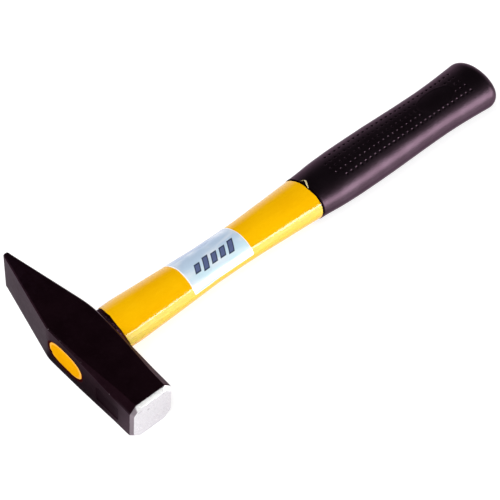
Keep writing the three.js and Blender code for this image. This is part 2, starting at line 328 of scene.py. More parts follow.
# ------------------------------------------------------------------ materials
def head_material():
    n = Nodes("lacquered_forging")
    broad = n.noise(n.mm, 0.07, 3.0, 0.5)
    mid = n.noise(n.mm, 0.55, 3.0, 0.6)
    fine = n.noise(n.mm, 3.2, 3.0, 0.6)
    # lacquer: almost black with a purple-brown cast, a little thinner here and there
    paint = n.mix(n.step(broad, 0.35, 0.68), (0.017, 0.0052, 0.0095), (0.024, 0.0085, 0.0140))
    paint = n.mix(n.mul(n.step(mid, 0.52, 0.8), 0.5), paint, (0.030, 0.013, 0.020))
    # bare steel: ground face, with an uneven lacquer edge
    edge = n.add(n.y, n.mul(n.sub(n.noise(n.mm, 0.8, 3.0, 0.6), 0.5), 0.55))
    ground = n.step(edge, BOUND_Y + 0.12, BOUND_Y - 0.06)
    # nicks through the lacquer on the corners
    bare = None
    for px, py, pz, r in ((-13.4, -35.5, 10.1, 0.34), (-13.2, 13.8, 13.2, 0.38), (-13.2, -8.4, 13.1, 0.30), (-13.1, -12.6, 12.7, 0.22), (-13.2, 4.2, 13.2, 0.2), (12.9, -49.2, 11.2, 0.6), (-10.6, -50.4, -12.2, 0.55), (9.6, -44.0, 13.3, 0.3),
                          (-3.0, 66.6, 12.6, 0.5), (1.5, 66.9, -9.0, 0.4), (-0.6, 67.1, 4.0, 0.35), (12.9, -21.0, -12.6, 0.4)):
        d = n.vmath("DISTANCE", n.mm, (px, py, pz))
        d = n.add(d, n.mul(n.sub(fine, 0.5), 0.5))
        k = n.step(d, r, r * 0.55)
        bare = k if bare is None else n.m("MAXIMUM", bare, k)
    metal_mask = n.m("MAXIMUM", ground, bare)
    # ground steel: fine parallel marks across the face, slightly crossed, and a few scratches
    lay = n.noise(n.vec(n.mul(n.add(n.x, n.mul(n.z, 0.35)), 6.0), n.mul(n.y, 3.0), n.mul(n.sub(n.z, n.mul(n.x, 0.35)), 0.35)), 1.0, 4.0, 0.65)
    cloud = n.noise(n.mm, 0.3, 3.0, 0.5)
    steel = n.mix(n.step(lay, 0.3, 0.7), (0.68, 0.675, 0.69), (0.76, 0.755, 0.77))
    steel = n.mix(n.mul(n.step(cloud, 0.5, 0.75), 0.35), steel, (0.56, 0.55, 0.57))
    scr = n.noise(n.vec(n.mul(n.sub(n.x, n.mul(n.z, 0.9)), 9.0), n.y, n.mul(n.add(n.z, n.mul(n.x, 0.9)), 0.5)), 1.0, 1.0, 0.3)
    steel = n.mix(n.mul(n.step(scr, 0.70, 0.76), 0.5), steel, (0.45, 0.43, 0.45))
    # the chamfer is ground coarser (rougher) than the face; its colour is painted light by side: white on top as a
    # painted highlight, dark on the eye-top (-X) side and grey on the neck (+X) side and the lower part as painted
    # shade
    chamfer = n.step(n.add(n.y, n.mul(n.sub(lay, 0.5), 0.12)), -53.12, -52.92)
    chamfer_painted_light = n.mix(n.step(n.add(n.x, n.mul(n.sub(lay, 0.5), 0.8)), -H + 3.1, -H + 4.1), (0.27, 0.225, 0.255), (1.0, 1.0, 1.0))
    chamfer_painted_light = n.mix(n.m("MAXIMUM", n.step(n.x, H - 1.5, H - 0.6), n.mul(n.step(n.z, 2.0, -4.0), n.step(n.x, -H + 3.0, -H + 5.0))), chamfer_painted_light, (0.50, 0.49, 0.51))
    steel = n.mix(n.mul(chamfer, 0.95), steel, chamfer_painted_light)
    # three short dark marks near the upper rim of the face: a small dark dash, and two thin painted shadow lines below
    # the chamfer
    for dy, dx, dz, lx, lz in ((0, -3.1, 6.7, 0.8, 0.3), (0, -8.6, 9.2, 1.5, 0.16), (0, 7.0, 11.2, 1.3, 0.13)):
        w = n.mul(n.step(n.m("ABSOLUTE", n.sub(n.x, dx)), lx, lx * 0.7), n.step(n.m("ABSOLUTE", n.sub(n.sub(n.z, dz), n.mul(n.sub(n.x, dx), 0.12))), lz * 1.6, lz * 0.6))
        steel = n.mix(n.mul(w, 0.7), steel, (0.22, 0.20, 0.22))
    # thin dark line where the lacquer ends
    rim = n.mul(n.step(n.m("ABSOLUTE", n.sub(edge, BOUND_Y + 0.02)), 0.16, 0.0), 0.55)
    steel = n.mix(rim, steel, (0.10, 0.075, 0.08))
    # wall of the eye behind the plug: painted shade of the gap round the plug, tinted red-brown like the amber resin
    yy, zz = n.mul(n.sub(n.y, PLUG_Y), 1 / 13.75), n.mul(n.sub(n.z, PLUG_Z), 1 / 7.9)
    inside = n.step(n.add(n.mul(yy, yy), n.mul(zz, zz)), 1.03, 0.97)
    inside = n.mul(inside, n.step(n.x, -H + 0.1, -H + 0.7))
    paint = n.mix(inside, paint, (0.130, 0.006, 0.004))
    # darker red band round the eye's mouth: painted shade of the gap round the plug
    ring = n.m("POWER", n.add(n.m("POWER", n.m("ABSOLUTE", n.mul(n.sub(n.y, PLUG_Y), 1 / 13.70)), 2.42), n.m("POWER", n.m("ABSOLUTE", n.mul(n.sub(n.z, PLUG_Z), 1 / 7.85)), 2.42)), 1 / 2.42)
    ring = n.mul(n.step(n.add(ring, n.mul(n.sub(fine, 0.5), 0.02)), 1.068, 1.040), n.step(n.x, -H + 0.9, -H + 0.5))
    paint = n.mix(n.mul(ring, n.sub(0.95, n.mul(inside, 0.95))), paint, (0.060, 0.003, 0.003))
    # the stamped panel is rougher, and painted darker as the shade of its recess; the eye-top face is painted lighter
    # towards the face end, a painted reflection
    pan = n.mul(n.step(n.m("ABSOLUTE", n.sub(n.y, -33.5)), 9.0, 8.2), n.step(n.m("ABSOLUTE", n.sub(n.z, -0.8)), 5.6, 4.9))
    pan = n.mul(pan, n.step(n.x, -H + 0.75, -H + 0.2))
    paint = n.mix(n.mul(pan, 0.92), paint, (0.006, 0.0020, 0.004))
    ridge = n.mul(n.step(n.m("ABSOLUTE", n.sub(n.sub(n.z, 2.7), n.mul(n.sub(n.y, -33.5), 0.05))), 0.36, 0.12), n.step(n.m("ABSOLUTE", n.sub(n.y, -34.6)), 6.4, 5.2))
    paint = n.mix(n.mul(ridge, n.step(fine, 0.40, 0.58)), paint, (0.050, 0.034, 0.044))
    # lighter towards the face end of the eye-top face: painted reflection
    face_end_painted_reflection = n.mul(n.step(n.y, -38.0, -47.0), n.step(n.x, -H + 0.9, -H + 0.2))
    paint = n.mix(n.mul(face_end_painted_reflection, n.add(0.35, n.mul(mid, 0.5))), paint, (0.052, 0.033, 0.044))
    paint = n.mix(n.mul(n.step(n.y, 22.0, 58.0), n.mul(n.step(mid, 0.3, 0.7), 0.6)), paint, (0.030, 0.0125, 0.0235))
    # lighter specks along the corner facets: painted highlight of the facets
    facet_painted_highlight = n.mul(n.step(n.m("ABSOLUTE", n.sub(n.add(n.m("ABSOLUTE", n.z), n.m("ABSOLUTE", n.x)), 2 * H - 0.9)), 0.9, 0.25), n.step(fine, 0.54, 0.66))
    paint = n.mix(n.mul(facet_painted_highlight, 0.5), paint, (0.075, 0.055, 0.065))
    # painted highlight along the rounded edge above the neck
    edge_painted_highlight = n.mul(n.mul(n.step(n.x, H - 0.60, H - 0.30), n.step(n.z, H - 0.80, H - 0.35)), n.step(n.m("ABSOLUTE", n.sub(n.y, 1.0)), 15.5, 13.0))
    paint = n.mix(n.mul(edge_painted_highlight, n.step(mid, 0.25, 0.5, 0.5, 0.9)), paint, (0.24, 0.20, 0.22))
    colour = n.mix(metal_mask, paint, steel)
    rough_p = n.add(n.add(n.add(0.27, n.mul(mid, 0.13)), n.mul(fine, 0.06)), n.add(n.mul(pan, 0.32), n.mul(ring, 0.40)))
    rough_m = n.add(n.add(0.20, n.mul(lay, 0.16)), n.mul(chamfer, 0.12))
    rough = n.add(n.mul(rough_p, n.sub(1.0, metal_mask)), n.mul(rough_m, metal_mask))
    h_p = n.add(n.mul(broad, 0.30), n.add(n.mul(mid, 0.030), n.mul(fine, 0.006)))
    h_m = n.add(n.mul(lay, 0.006), n.add(n.mul(scr, 0.002), n.mul(cloud, 0.02)))
    h = n.add(n.mul(h_p, n.sub(1.0, metal_mask)), n.mul(h_m, metal_mask))
    h = n.sub(h, n.mul(metal_mask, 0.02))
    return n.finish(colour, rough, n.bump(h, 0.001, 1.0), n.m("MAXIMUM", metal_mask, 0.80), Specular_IOR_Level=0.10,
                    Specular_Tint=(0.72, 0.64, 0.70, 1.0))


def yellow_material(name, base, deep, pale, rough=0.035, plug=False, level=0.60):
    n = Nodes(name)
    broad = n.noise(n.scale(n.mm, (0.5, 1.0, 1.0)), 0.09, 2.0, 0.5)
    mid = n.noise(n.scale(n.mm, (0.35, 1.0, 1.0)), 0.5, 3.0, 0.55)
    fine = n.noise(n.mm, 4.5, 2.0, 0.5)
    specks = n.voronoi(n.mm, 0.42)
    colour = n.mix(n.step(broad, 0.3, 0.7), base, deep)
    colour = n.mix(n.mul(n.step(mid, 0.5, 0.8), 0.5), colour, pale)
    # tiny inclusions in the moulding
    colour = n.mix(n.mul(n.step(specks, 0.075, 0.03), 0.35), colour, (0.42, 0.16, 0.004))
    r = n.add(n.add(rough, n.mul(mid, 0.06)), n.mul(fine, 0.04))
    h = n.add(n.mul(broad, 0.22), n.add(n.mul(mid, 0.035), n.mul(fine, 0.0035)))
    if plug:
        # the sloping rim is painted paler than the middle as a painted highlight, and darker again right at the edge as
        # painted shade of the gap
        py, pz = n.mul(n.m("ABSOLUTE", n.sub(n.y, PLUG_Y)), 1 / 13.12), n.mul(n.m("ABSOLUTE", n.sub(n.z, PLUG_Z)), 1 / 7.22)
        q = n.m("POWER", n.add(n.m("POWER", py, 2.42), n.m("POWER", pz, 2.42)), 1 / 2.42)
        q = n.add(q, n.mul(n.sub(mid, 0.5), 0.03))
        colour = n.mix(n.mul(n.step(q, 0.85, 0.93), 0.85), colour, (0.86, 0.42, 0.070))
        colour = n.mix(n.mul(n.step(q, 0.965, 0.995), 0.9), colour, (0.20, 0.035, 0.006))
    else:
        # faint longitudinal drag lines left by the mould
        drag = n.noise(n.vec(n.mul(n.x, 0.02), n.mul(n.y, 1.4), n.mul(n.z, 1.4)), 1.0, 3.0, 0.6)
        h = n.add(h, n.mul(drag, 0.03))
        # the second half of the moulding, below the bright edge: painted paler lemon yellow as a painted reflection of
        # the floor, with mottled colour and more roughness
        ang = n.angle(12.4 / 9.5)
        low = n.mul(n.step(n.sub(n.add(ang, n.mul(n.sub(mid, 0.5), 0.8)), n.step(n.x, 55.0, 150.0, 0.0, 3.6)), 144.9, 146.2), n.step(ang, 212.0, 208.0))
        pale_side_noise = n.noise(n.vec(n.mul(n.x, 0.12), n.mul(n.y, 1.6), n.mul(n.z, 1.6)), 1.0, 4.0, 0.65)
        colour = n.mix(low, colour, n.mix(n.step(pale_side_noise, 0.35, 0.7), (0.86, 0.62, 0.012), (0.80, 0.53, 0.004)))
        r = n.add(r, n.mul(low, n.add(0.42, n.mul(pale_side_noise, 0.18))))
    return n.finish(colour, r, n.bump(h, 0.001, 1.0), 0.0, Specular_IOR_Level=level)


def rubber_material(name, base, lift, rough, sheen, collar=False):
    n = Nodes(name)
    broad = n.noise(n.mm, 0.06, 3.0, 0.55)
    mid = n.noise(n.mm, 0.45, 3.0, 0.6)
    grain = n.noise(n.mm, 5.5, 3.0, 0.65)
    pores = n.voronoi(n.mm, 2.6)
    colour = n.mix(n.step(broad, 0.35, 0.7), base, lift)
    colour = n.mix(n.mul(n.step(mid, 0.55, 0.8), 0.35), colour, tuple(1.5 * c for c in lift))
    # dust caught in the grain
    colour = n.mix(n.mul(n.step(grain, 0.66, 0.80), 0.30), colour, (0.115, 0.010, 0.045))
    r = n.add(n.add(rough, n.mul(mid, 0.07)), n.mul(grain, 0.08))
    h = n.add(n.add(n.mul(broad, 0.25), n.mul(mid, 0.03)), n.add(n.mul(grain, 0.012), n.mul(n.step(pores, 0.0, 0.35), 0.008)))
    ang = n.angle(12.4 / 9.5)
    if collar:
        # blotchy skin, and darker with a red-brown cast where the jacket starts
        colour = n.mix(n.step(n.noise(n.mm, 0.9, 3.0, 0.6), 0.62, 0.40), colour, (0.016, 0.006, 0.010))
        colour = n.mix(n.mul(n.step(n.add(n.x, n.mul(n.sub(mid, 0.5), 1.0)), 15.9, 16.6), 0.92), colour, (0.024, 0.0025, 0.0015))
    else:
        # dark line along the front rim, next to the jacket: painted shadow under the overhanging lip; rougher there too
        rim = n.step(n.sub(n.add(n.x, n.mul(n.sub(mid, 0.5), 0.4)), n.step(ang, 51.0, 149.0, 156.1, 158.2)), 1.7, 1.0)
        colour = n.mix(n.mul(rim, 0.94), colour, (0.0035, 0.0006, 0.0008))
        r = n.add(r, n.mul(rim, 0.35))
    mat = n.finish(colour, r, n.bump(h, 0.001, 1.0), 0.91, Specular_IOR_Level=0.3, Specular_Tint=(0.68, 0.56, 0.64, 1.0),
                   Sheen_Weight=sheen, Sheen_Roughness=0.4)
    n.bsdf.inputs["Sheen Tint"].default_value = (0.8, 0.62, 0.78, 1.0)
    return mat


LABEL_L = [(10.0, 62.6), (51.0, 63.5), (80.0, 64.5), (140.0, 64.5), (163.0, 64.7), (175.0, 64.8)]
LABEL_R = [(10.0, 104.9), (48.0, 106.0), (95.0, 107.0), (136.0, 107.4), (169.0, 108.0), (175.0, 108.1)]
LABEL_A = (15.0, 166.5)


def label_material():
    n = Nodes("printed_foil")
    a = n.angle(12.4 / 9.5)                      # degrees round the handle
    s = n.mul(a, 0.19)                           # about millimetres round the handle
    # signed distance to the label's edges, in mm
    left = n.add(64.5, n.step(a, 80.0, 30.0, 0.0, -1.5))
    right = n.add(107.2, n.add(n.step(a, 95.0, 30.0, 0.0, -1.7), n.step(a, 95.0, 170.0, 0.0, 0.8)))
    dl, dr = n.sub(n.x, left), n.sub(right, n.x)
    dt, db = n.mul(n.sub(a, LABEL_A[0]), 0.19), n.mul(n.sub(LABEL_A[1], a), 0.19)
    d = n.m("MINIMUM", n.m("MINIMUM", dl, dr), n.m("MINIMUM", dt, db))
    border = n.step(d, 0.75, 0.55)
    # sky-like print: lilac-blue above, pale cyan below, with soft clouds
    cloud = n.noise(n.vec(n.mul(n.x, 0.055), n.mul(s, 0.16), 0.0), 1.0, 3.0, 0.5, 0.3)
    fine = n.noise(n.mm, 2.2, 3.0, 0.6)
    c = n.mix(n.step(a, 35.0, 80.0), (0.38, 0.475, 0.69), (0.55, 0.69, 0.86))
    c = n.mix(n.step(a, 80.0, 135.0), c, (0.63, 0.84, 0.92))
    c = n.mix(n.mul(n.step(cloud, 0.42, 0.70), 0.85), c, (0.80, 0.86, 0.95))
    swoosh = n.sub(a, n.add(104.0, n.mul(n.m("POWER", n.m("ABSOLUTE", n.mul(n.sub(n.x, 60.0), 0.021)), 2.0), 26.0)))
    c = n.mix(n.mul(n.mul(n.step(swoosh, -3.0, 6.0), n.step(swoosh, 20.0, 7.0)), 0.35), c, (0.88, 0.94, 0.98))
    # plain slanted bars, navy inside a blue-grey outline
    bars = None
    cores = None
    for i, (cx, ha) in enumerate(((74.0, 11.0), (80.0, 16.5), (86.0, 13.0), (92.0, 13.0), (98.0, 16.5))):
        u = n.m("ABSOLUTE", n.sub(n.sub(n.x, cx), n.mul(n.sub(a, 106.0), -0.115)))
        v = n.m("ABSOLUTE", n.sub(a, 106.0))
        o = n.mul(n.step(u, 2.15, 1.9), n.step(v, ha + 1.2, ha + 0.2))
        k = n.mul(n.step(u, 1.45, 1.1), n.step(v, ha - 2.2, ha - 3.8))
        bars = o if bars is None else n.m("MAXIMUM", bars, o)
        cores = k if cores is None else n.m("MAXIMUM", cores, k)
    c = n.mix(n.mul(bars, 0.95), c, (0.018, 0.028, 0.075))
    c = n.mix(n.mul(cores, 0.55), c, (0.16, 0.20, 0.42))
    c = n.mix(border, c, (0.90, 0.91, 0.94))
    # blue keyline inside the lower border
    key = n.mul(n.step(n.m("ABSOLUTE", n.sub(db, 1.0)), 0.20, 0.08), n.step(n.m("MINIMUM", dl, dr), 0.8, 1.3))
    c = n.mix(n.mul(key, 0.6), c, (0.20, 0.32, 0.60))
    rough = n.add(0.17, n.mul(fine, 0.08))
    lay = n.noise(n.vec(n.mul(n.x, 0.12), n.mul(s, 0.5), 0.0), 1.0, 3.0, 0.5)
    h = n.add(n.mul(lay, 0.10), n.add(n.mul(fine, 0.004), n.mul(bars, 0.004)))
    return n.finish(c, rough, n.bump(h, 0.001, 1.0), n.mul(n.sub(1.0, border), 0.15), Specular_IOR_Level=0.5, Coat_Weight=0.3, Coat_Roughness=0.08)


def resin_material():
    n = Nodes("amber_resin")
    broad = n.noise(n.mm, 0.3, 3.0, 0.55)
    bub = n.voronoi(n.mm, 0.9)
    c = n.mix(n.step(broad, 0.3, 0.7), (0.45, 0.24, 0.05), (0.62, 0.38, 0.10))
    c = n.mix(n.mul(n.step(bub, 0.12, 0.05), 0.6), c, (0.80, 0.66, 0.35))
    h = n.add(n.mul(broad, 0.1), n.mul(n.step(bub, 0.14, 0.05), 0.05))
    return n.finish(c, n.add(0.25, n.mul(broad, 0.2)), n.bump(h, 0.001, 1.0), 0.0, Specular_IOR_Level=0.5)


def fibre_material():
    n = Nodes("glass_fibre_rod")
    strands = n.noise(n.vec(n.mul(n.x, 0.03), n.mul(n.y, 3.0), n.mul(n.z, 3.0)), 1.0, 4.0, 0.65)
    broad = n.noise(n.mm, 0.12, 2.0, 0.5)
    c = n.mix(n.step(strands, 0.3, 0.7), (0.42, 0.40, 0.24), (0.74, 0.70, 0.48))
    c = n.mix(n.mul(broad, 0.3), c, (0.55, 0.62, 0.42))
    return n.finish(c, n.add(0.38, n.mul(strands, 0.2)), n.bump(n.mul(strands, 0.05), 0.001, 1.0), 0.0, Specular_IOR_Level=0.5)


MAT_HEAD = head_material()
MAT_JACKET = yellow_material("gloss_yellow_plastic", (0.885, 0.462, 0.0010), (0.860, 0.432, 0.0006), (0.905, 0.490, 0.003))
MAT_PLUG = yellow_material("plug_yellow_plastic", (0.71, 0.325, 0.0012), (0.68, 0.30, 0.001), (0.74, 0.35, 0.003), 0.24, plug=True, level=0.0)
MAT_GRIP = rubber_material("grip_rubber_compound", (0.0335, 0.0205, 0.0285), (0.043, 0.0275, 0.0375), 0.27, 0.0)
MAT_COLLAR = rubber_material("collar_plastic_dark", (0.085, 0.032, 0.055), (0.130, 0.055, 0.090), 0.58, 0.0, collar=True)
MAT_LABEL = label_material()
MAT_RESIN = resin_material()
MAT_FIBRE = fibre_material()


# ------------------------------------------------------------------ forged head
def octagon(y, xm, xp, zh, k, r, seg=4):
    """ring of a box section with cut corners k and every corner rounded with radius r"""
    k = min(k, (xp - xm) / 2 - 0.02)
    pts = [(xm, -(zh - k)), (xm, zh - k), (xm + k, zh), (xp - k, zh), (xp, zh - k), (xp, -(zh - k)), (xp - k, -zh), (xm + k, -zh)]
    out = []
    m = len(pts)
    for i in range(m):
        p0, p1, p2 = Vector(pts[i - 1]), Vector(pts[i]), Vector(pts[(i + 1) % m])
        a, b = p0 - p1, p2 - p1
        la, lb = a.length, b.length
        a.normalize()
        b.normalize()
        ang = a.angle(b)
        t = min(r / math.tan(ang / 2), la * 0.46, lb * 0.46)
        rr = t * math.tan(ang / 2)
        mid = (a + b).normalized()
        c = p1 + mid * (rr / math.sin(ang / 2))
        s, e = p1 + a * t - c, p1 + b * t - c
        tot = s.angle_signed(e)
        for q in range(seg + 1):
            w = s.copy()
            w.rotate(Matrix.Rotation(-tot * q / seg, 2))
            p = c + w
            out.append(W(p.x, y, p.y))
    return out


def fillet_path(path, radii, seg=4):
    """2-D polyline with rounded corners"""
    out = [Vector(path[0])]
    for i in range(1, len(path) - 1):
        p0, p1, p2 = Vector(path[i - 1]), Vector(path[i]), Vector(path[i + 1])
        a, b = (p0 - p1), (p2 - p1)
        la, lb = a.length, b.length
        a.normalize()
        b.normalize()
        t = min(radii[i - 1], la * 0.48, lb * 0.48)
        for q in range(seg + 1):
            f = q / seg
            out.append((p1 + a * t).lerp(p1, f).lerp(p1.lerp(p1 + b * t, f), f))
    out.append(Vector(path[-1]))
    return out


def smooth_line(rows, y, span):
    """the piecewise line, averaged over a short span so that its bends are round"""
    return sum(interp(rows, y + span * o) for o in (-1.0, -0.6, -0.2, 0.2, 0.6, 1.0)) / 6.0


rings = []
# face: a slight crown, then the rounded rim and the ground chamfer
for f in (0.12, 0.35, 0.6, 0.8, 0.93):
    hs = (H - 1.36) * f
    rings.append(octagon(FACE_Y + 0.14 * f**2.2, -hs, hs, hs, 4.25 * f, 2.4 * f))
for p in fillet_path([(-53.16, 1.60), (-53.16, 1.36), (-51.1, 0.0), (-50.0, 0.0)], [0.24, 0.5], 4):
    y, inset = p
    rr = interp([(-53.3, 2.4), (-51.1, 0.9), (-49.5, 0.45)], y)
    rings.append(octagon(y, -H + inset, H - inset, H - inset, interp([(-53.3, 4.25), (-51.1, 4.2)], y), rr))
for y in (-49.0, -46.0, -42.0, -38.0, -34.0, -30.0, -25.0, -20.0, -16.0, -12.0, -8.0, -4.0, 0.0, 4.0, 6.0, 8.0, 10.0):
    rings.append(octagon(y, -H, min(H, smooth_line(UNDER, y, 1.2)), H, interp(FACETS, y), interp([(-49.0, 0.42), (-20, 0.40), (8, 0.34)], y)))
ys = [11.6, 12.2, 12.8, 13.4, 14.0, 14.6, 15.2, 15.8, 16.4, 17.2, 18.0, 18.8, 19.6, 20.6, 24.0, 30.0, 38.0, 46.0, 54.0, 61.0, 65.2]
for y in ys:
    rings.append(octagon(y, max(-H, smooth_line(TOP, y, 1.8)), smooth_line(UNDER, y, 1.2), H, 0.7, 0.34))
# rounded tip of the peen
xt0, xt1 = interp(TOP, 66.0), interp(UNDER, 66.0)
tc, th = (xt0 + xt1) / 2, (xt1 - xt0) / 2
for i in range(7):
    a = math.pi / 2 * i / 6
    y = 66.0 + 1.3 * math.sin(a)
    cc = lerp(tc, (-0.9 + 2.12) / 2, math.sin(a))
    hw = 0.95 + (th - 0.95) * math.cos(a) ** 0.75
    rings.append(octagon(y, cc - hw, cc + hw, H - 0.35 * (1 - math.cos(a)), max(0.16, min(0.55, hw * 0.5)), 0.22))

head = new_piece("forged_head", skin(rings), "forged_steel", "hammer_head", MAT_HEAD)


def eye_at(x):
    t = min(abs(x) / H, 1.0) ** 1.6
    return lerp(EYE_WAIST[0], EYE_END[0], t), lerp(EYE_WAIST[1], EYE_END[1], t)


# the eye, waisted, with softly rounded mouths
cut = []
xs = [-H - 1.5, -H - 0.02, -H + 0.04, -H + 0.14, -H + 0.32, -H + 0.6, -H + 1.0, -11, -9, -6, -3, 0, 3, 6, 9, 11, H - 1.0, H - 0.6, H - 0.32, H - 0.14, H - 0.04, H + 0.02, H + 1.5]
for x in xs:
    a, b = eye_at(x)
    d = max(0.0, min(1.0, (H - abs(x)) / 0.6))
    flare = 0.45 * (1 - math.sqrt(max(0.0, 1 - (1 - d) ** 2))) if abs(x) < H else 0.45
    g = 1.0 - smooth(-H + 0.2, -H + 2.4, x)
    cut.append(superoval(x, a + flare - 0.05 * g, b + flare + 0.05 * g, lerp(EYE_Y, PLUG_Y, g), lerp(EYE_Z, PLUG_Z, g), 112, lerp(EYE_POWER, 2.42, g)))
cutter = new_piece("cutter_eye", skin(cut))


def rounded_rect(x, y0, y1, z0, z1, r, seg=6, skew=0.0):
    out = []
    for cy, cz, a0 in ((y1 - r, z1 - r, 0.0), (y0 + r, z1 - r, 90.0), (y0 + r, z0 + r, 180.0), (y1 - r, z0 + r, 270.0)):
        for q in range(seg + 1):
            a = math.radians(a0 + 90.0 * q / seg)
            yy, zz = cy + r * math.cos(a), cz + r * math.sin(a)
            zz += skew * (yy - (y0 + y1) / 2) * (1 if zz > (z0 + z1) / 2 else 0.4)
            out.append(W(x, yy, zz))
    return out


panel = []
for x, s in ((-H - 1.0, -0.16), (-H - 0.03, -0.16), (-H + 0.05, -0.06), (-H + 0.16, 0.06), (-H + 0.36, 0.24), (-H + 0.46, 0.38), (-H + 0.5, 0.62)):
    panel.append(rounded_rect(x, -42.3 + s, -24.7 - s, -6.2 + s, 4.6 - s, 2.6 - s * 0.6, 7, 0.05))
cutter2 = new_piece("cutter_panel", skin(panel, "fan", "ngon"))

for c in (cutter, cutter2):
    mod = head.modifiers.new("cut", "BOOLEAN")
    mod.operation, mod.solver, mod.object = "DIFFERENCE", "EXACT", c
apply_modifiers(head)
for c in (cutter, cutter2):
    bpy.data.objects.remove(c)
bm = bmesh.new()
bm.from_mesh(head.data)
bmesh.ops.remove_doubles(bm, verts=bm.verts, dist=2e-6)
bmesh.ops.dissolve_degenerate(bm, edges=bm.edges, dist=2e-6)
bm.to_mesh(head.data)
bm.free()
for p in head.data.polygons:
    p.use_smooth = True
head.data.set_sharp_from_angle(angle=math.radians(38))
wn = head.modifiers.new("flat_faces", "WEIGHTED_NORMAL")
wn.keep_sharp, wn.weight, wn.mode = True, 100, "FACE_AREA"


# ------------------------------------------------------------------ eye plug
rings = []
PY, PZ, PH, PV = PLUG_Y, PLUG_Z, 13.12, 7.22


def plug_ring(x, s, flat=0.0):
    """s: how far the ring lies inside the plug's outline; flat: straight cut along the lower side"""
    out = []
    for i in range(128):
        a = 2 * math.pi * i / 128
        c, d, e = math.cos(a), math.sin(a), 2.0 / 2.42
        # trimmed sprue: a small hollow and bulge in the outline low on the peen side
        t = math.degrees(a) - 360.0
        k = 0.5 * math.exp(-(((t + 27) / 7.5) ** 2)) - 0.42 * math.exp(-(((t + 46) / 9) ** 2))
        y = PY + (PH - s - k) * math.copysign(abs(c) ** e, c)
        z = PZ + (PV - s - k) * math.copysign(abs(d) ** e, d)
        z = max(z, PZ - (PV - s) + flat * (PV - s))
        out.append(W(x, y, z))
    return out


# crowned middle with a straight sprue cut along its lower side, then a paler sloping rim
for s, dx in ((6.6, 0.0), (5.4, 0.0), (4.0, 0.005), (2.8, 0.012), (1.9, 0.02), (1.5, 0.03), (1.25, 0.055), (1.05, 0.10), (0.85, 0.155), (0.6, 0.225), (0.42, 0.28)):
    rings.append(plug_ring(-H + 0.03 + dx, s, 0.05 + 0.06 * smooth(0.9, 1.6, s)))
for i in range(6):
    a = math.pi / 2 * i / 5
    rings.append(plug_ring(-H + 0.33 + 0.36 * (1 - math.cos(a)), 0.36 * (1 - math.sin(a)), 0.05))
for x in (-H + 1.2, -H + 2.4, -H + 3.6):
    a, b = eye_at(x)
    rings.append(superoval(x, min(PH, a - 0.3), min(PV, b - 0.45), lerp(PY, EYE_Y, 0.5), 0.32, 128, 2.2))
plug = new_piece("yellow_eye_plug", skin(rings), "yellow_plastic", "eye_plug", MAT_PLUG, 50)


# ------------------------------------------------------------------ handle pieces
def oval_at(x, half, ang, off=0.0):
    a = math.radians(ang)
    return W(x, (half[0] + off) * math.cos(a), (half[1] + off) * math.sin(a))


def wiggle(a, amp, seeds):
    """small repeatable unevenness round the handle"""
    return amp * sum(math.sin(math.radians(a) * k + p) * w for k, p, w in seeds)


FRONT = [(0.0, 19.6), (42.0, 18.6), (64.0, 17.95), (84.0, 17.6), (93.0, 17.2), (111.0, 17.0), (123.0, 17.05), (140.0, 17.3), (166.0, 18.1), (182.0, 19.0),
         (200.0, 18.9), (240.0, 17.9), (270.0, 17.4), (300.0, 17.9), (340.0, 19.3), (360.0, 19.6)]
RAG = ((9, 0.4, 0.5), (17, 1.9, 0.3), (31, 0.7, 0.25), (53, 2.2, 0.2))
RIM = [(0.0, 156.2), (51.0, 156.1), (76.0, 156.9), (99.0, 157.1), (122.0, 157.9), (149.0, 158.2), (180.0, 158.0), (230.0, 157.4), (290.0, 156.6), (360.0, 156.2)]


def collar_half(x):
    return table(OUTLINE[:2], x, 1), table(OUTLINE[:2], x, 2)


# collar: soft ring that seals the eye, slightly squeezed out where the jacket ends
angs = [i * 360.0 / 144 for i in range(144)]
rings = []
for x, s in ((13.60, 1.3), (13.62, 0.9), (13.75, 0.45), (14.05, 0.16), (14.5, 0.02), (15.2, 0.0), (16.0, -0.02), (16.8, 0.02), (17.6, 0.03), (18.6, 0.05), (19.6, 0.12), (20.0, 0.6)):
    rings.append([oval_at(x + wiggle(a, 0.05, RAG) * (x > 14.2), collar_half(min(x, 17.2)), a, -s + wiggle(a, 0.05, RAG)) for a in angs])
collar = new_piece("neck_ring", skin(rings), "collar_plastic", "neck_collar", MAT_COLLAR, 60)

# jacket: glossy moulding with a fine parting line on both narrow sides
SEAM = [(17.0, 160.5), (29.0, 158.5), (45.0, 163.0), (64.0, 168.5), (86.0, 168.0), (108.0, 166.0), (135.0, 160.0), (158.0, 154.5), (170.0, 154.0)]
base_angles = []
for centre in (162.0, 18.0):
    base_angles += [centre + d for d in (-6, -4.5, -3.2, -2.2, -1.5, -1.0, -0.6, -0.3, 0.0, 0.3, 0.6, 1.0, 1.5, 2.2, 3.2, 4.5, 6)]
base_angles += [a for a in [2.5 * i for i in range(144)] if min(abs(a - 162), abs(a - 18)) > 7.0]
base_angles = sorted(base_angles)


def jacket_angle(x, b):
    shift = smooth_seam(x) - 162.0
    if b <= 180 and abs(b - 162) < 45:
        return b + shift * (1 - smooth(8, 45, abs(b - 162)))
    d = min(abs(b - 18), abs(b - 18 - 360))
    if d < 45:
        return b - shift * (1 - smooth(8, 45, d))
    if 180 < b < 207:
        return b + shift * (1 - smooth(8, 45, abs(b - 162)))
    return b


def smooth_seam(x):
    return sum(interp(SEAM, x + o) for o in (-6, -3, 0, 3, 6)) / 5.0


def seam_off(b):
    """small raised witness line, with a slight flat beside it"""
    d = min(abs(b - 162.0), abs(b - 18.0)) * 0.21
    return 0.085 * math.exp(-((d / 0.22) ** 2)) + 0.05 * math.exp(-((d / 1.1) ** 2))


xs = [0.0, 0.12, 0.35, 0.7, 1.2, 2.0, 3.0] + [None]
jx = [22.5 + 2.0 * i for i in range(0, 66)]
rings = []
